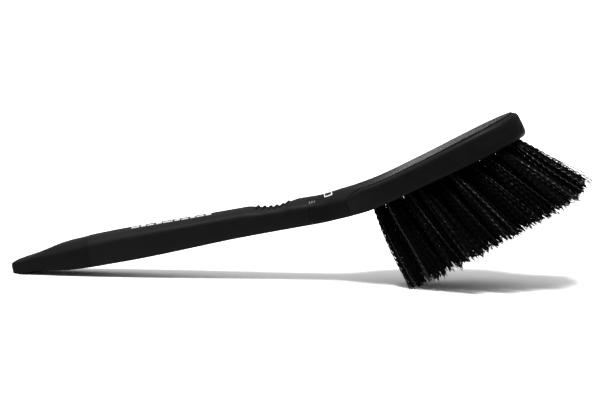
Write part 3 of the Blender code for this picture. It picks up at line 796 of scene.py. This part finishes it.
def ribbon(name, path, width, mat, lift=0.07):
    """A thin printed line on the top and the chamfer of the neck, along (s, y) points."""
    def top_at(a, b):
        inward = half_width(a) - abs(b)
        cw = table(CHAMFER_W, a)
        return top_n(a) + (table(CHAMFER_D, a) * (1 - inward / cw) if inward < cw else 0.0)
    left, right = [], []
    for k, (a, b) in enumerate(path):
        a0, b0 = path[max(0, k - 1)]
        a1, b1 = path[min(len(path) - 1, k + 1)]
        q = math.hypot(a1 - a0, b1 - b0)
        da, db = -(b1 - b0) / q * width * 0.5, (a1 - a0) / q * width * 0.5
        left.append((a + da, b + db))
        right.append((a - da, b - db))
    n = len(path)
    verts = []
    for depth in (lift, -0.05):
        verts += [wrap(a, b, top_at(a, b) - depth) for a, b in left]
        verts += [wrap(a, b, top_at(a, b) - depth) for a, b in right]
    faces = []
    for k in range(n - 1):
        faces += [[k, k + 1, n + k + 1, n + k], [2 * n + k, 3 * n + k, 3 * n + k + 1, 2 * n + k + 1],
                  [k, 2 * n + k, 2 * n + k + 1, k + 1], [n + k, n + k + 1, 3 * n + k + 1, 3 * n + k]]
    faces += [[0, n, 3 * n, 2 * n], [n - 1, 3 * n - 1, 4 * n - 1, 2 * n - 1]]
    dress(mesh_object(name, verts, faces), mat, "core_plastic")


def steps(a, b, count=9):
    return [(a[0] + (b[0] - a[0]) * k / count, a[1] + (b[1] - a[1]) * k / count) for k in range(count + 1)]


# a plain open frame and three dashes stand where small marks are printed on the neck
s, near, far = 196.2, -7.7, 5.5
ribbon("neck_frame_1", steps((s - PRINT_SKEW * near, near), (s - PRINT_SKEW * far, far)), 0.6, ink)
ribbon("neck_frame_2", steps((s + 4.5 - PRINT_SKEW * near, near), (s + 4.5 - PRINT_SKEW * far, far)), 0.7, ink)
ribbon("neck_frame_3", steps((s - PRINT_SKEW * near - 0.3, near), (s + 4.8 - PRINT_SKEW * near, near)), 0.9, ink)
pale = ink_material("neck_dash_look", 0.16)
for k in range(3):
    s = 188.0 + 1.5 * k
    ribbon("neck_dash_%d" % (k + 1), steps((s, -11.8 + 0.5 * k), (s, -9.2)), 0.75, pale)

# ---- floor, backdrop, light, camera ----------------------------------------------------
def plane(name, corners):
    me = bpy.data.meshes.new(name)
    me.from_pydata(corners, [], [list(range(len(corners)))])
    ob = bpy.data.objects.new(name, me)
    bpy.context.scene.collection.objects.link(ob)
    return ob


floor = plane("floor", [(-9, -3, 0), (9, -3, 0), (9, 14, 0), (-9, 14, 0)])
mat = bpy.data.materials.new("floor_look")
mat.use_nodes = True
nt = mat.node_tree
nt.nodes.clear()
surface = nt.nodes.new('ShaderNodeBsdfDiffuse')
end = nt.nodes.new('ShaderNodeOutputMaterial')
nt.links.new(surface.outputs[0], end.inputs[0])
floor.data.materials.append(mat)
# seen directly the floor is white; for bounced light it is dark near the brush, so the
# black stays black, and lighter far behind, where the top of the head mirrors it
place = nt.nodes.new('ShaderNodeTexCoord')
split = nt.nodes.new('ShaderNodeSeparateXYZ')
nt.links.new(place.outputs["Object"], split.inputs[0])
reach = nt.nodes.new('ShaderNodeMapRange')
reach.inputs["From Min"].default_value = -0.6
reach.inputs["From Max"].default_value = 1.2
nt.links.new(split.outputs[1], reach.inputs["Value"])
bounce = ramp(nt, reach.outputs[0], [(0.20, (0.04,) * 3), (0.30, (0.55,) * 3), (0.42, (0.4,) * 3), (0.83, (0.95,) * 3)])
light_path = nt.nodes.new('ShaderNodeLightPath')
mix = nt.nodes.new('ShaderNodeMix')
mix.data_type = 'RGBA'
mix.inputs[7].default_value = (1.6, 1.6, 1.6, 1)
nt.links.new(bounce.outputs[0], mix.inputs[6])
nt.links.new(light_path.outputs["Is Camera Ray"], mix.inputs[0])
nt.links.new(mix.outputs[2], surface.inputs["Color"])

world = bpy.data.worlds.new("studio")
bpy.context.scene.world = world
world.use_nodes = True
wt = world.node_tree
wt.nodes.clear()
out = wt.nodes.new('ShaderNodeOutputWorld')
bg_seen = wt.nodes.new('ShaderNodeBackground')
bg_seen.inputs[0].default_value = (1, 1, 1, 1)
bg_seen.inputs[1].default_value = 1.0
bg_lit = wt.nodes.new('ShaderNodeBackground')
bg_lit.inputs[1].default_value = 1.0
mixer = wt.nodes.new('ShaderNodeMixShader')
lp = wt.nodes.new('ShaderNodeLightPath')
co = wt.nodes.new('ShaderNodeTexCoord')
sep = wt.nodes.new('ShaderNodeSeparateXYZ')
wt.links.new(co.outputs["Generated"], sep.inputs[0])
wr = ramp(wt, sep.outputs[2], [(0.0, (0.01, 0.01, 0.01)), (1.0, (0.75, 0.75, 0.75))])
wt.links.new(wr.outputs[0], bg_lit.inputs[0])
# the toe's side of the room is darker
flag = wt.nodes.new('ShaderNodeMapRange')
flag.inputs["From Min"].default_value = -0.6
flag.inputs["From Max"].default_value = 0.8
flag.inputs["To Min"].default_value = 1.35
flag.inputs["To Max"].default_value = 0.45
wt.links.new(sep.outputs[0], flag.inputs["Value"])
wt.links.new(flag.outputs[0], bg_lit.inputs[1])
wt.links.new(lp.outputs["Is Camera Ray"], mixer.inputs[0])
wt.links.new(bg_lit.outputs[0], mixer.inputs[1])
wt.links.new(bg_seen.outputs[0], mixer.inputs[2])
wt.links.new(mixer.outputs[0], out.inputs[0])

key = bpy.data.lights.new("key", 'SUN')
key.energy = 2.9
key.angle = math.radians(14)
key_ob = bpy.data.objects.new("key", key)
bpy.context.scene.collection.objects.link(key_ob)
KEY_EL = math.radians(65)
key_ob.rotation_euler = Vector((0, math.cos(KEY_EL), -math.sin(KEY_EL))).to_track_quat('-Z', 'Y').to_euler()

# camera: low and slightly to the head's side, with a long lens
az, el, roll = math.radians(9.0), math.radians(8.0), math.radians(0.4)
back = Vector((math.sin(az) * math.cos(el), -math.cos(az) * math.cos(el), math.sin(el)))
right = Vector((math.cos(az), math.sin(az), 0))
upv = back.cross(right)
r2 = right * math.cos(roll) + upv * math.sin(roll)
u2 = -right * math.sin(roll) + upv * math.cos(roll)
target = Vector((0.17707, 0, 0.0508)) + SHIFT
cam = bpy.data.cameras.new("camera")
cam.sensor_width = 36
cam.lens = 126
cam.clip_end = 50
cam_ob = bpy.data.objects.new("camera", cam)
bpy.context.scene.collection.objects.link(cam_ob)
m = Matrix.Identity(4)
for i, vec in enumerate((r2, u2, back)):
    m.col[i][:3] = vec
m.col[3][:3] = target + back * 1.29
cam_ob.matrix_world = m
bpy.context.scene.camera = cam_ob
bpy.context.scene.view_settings.view_transform = 'Standard'

bpy.context.view_layer.update()
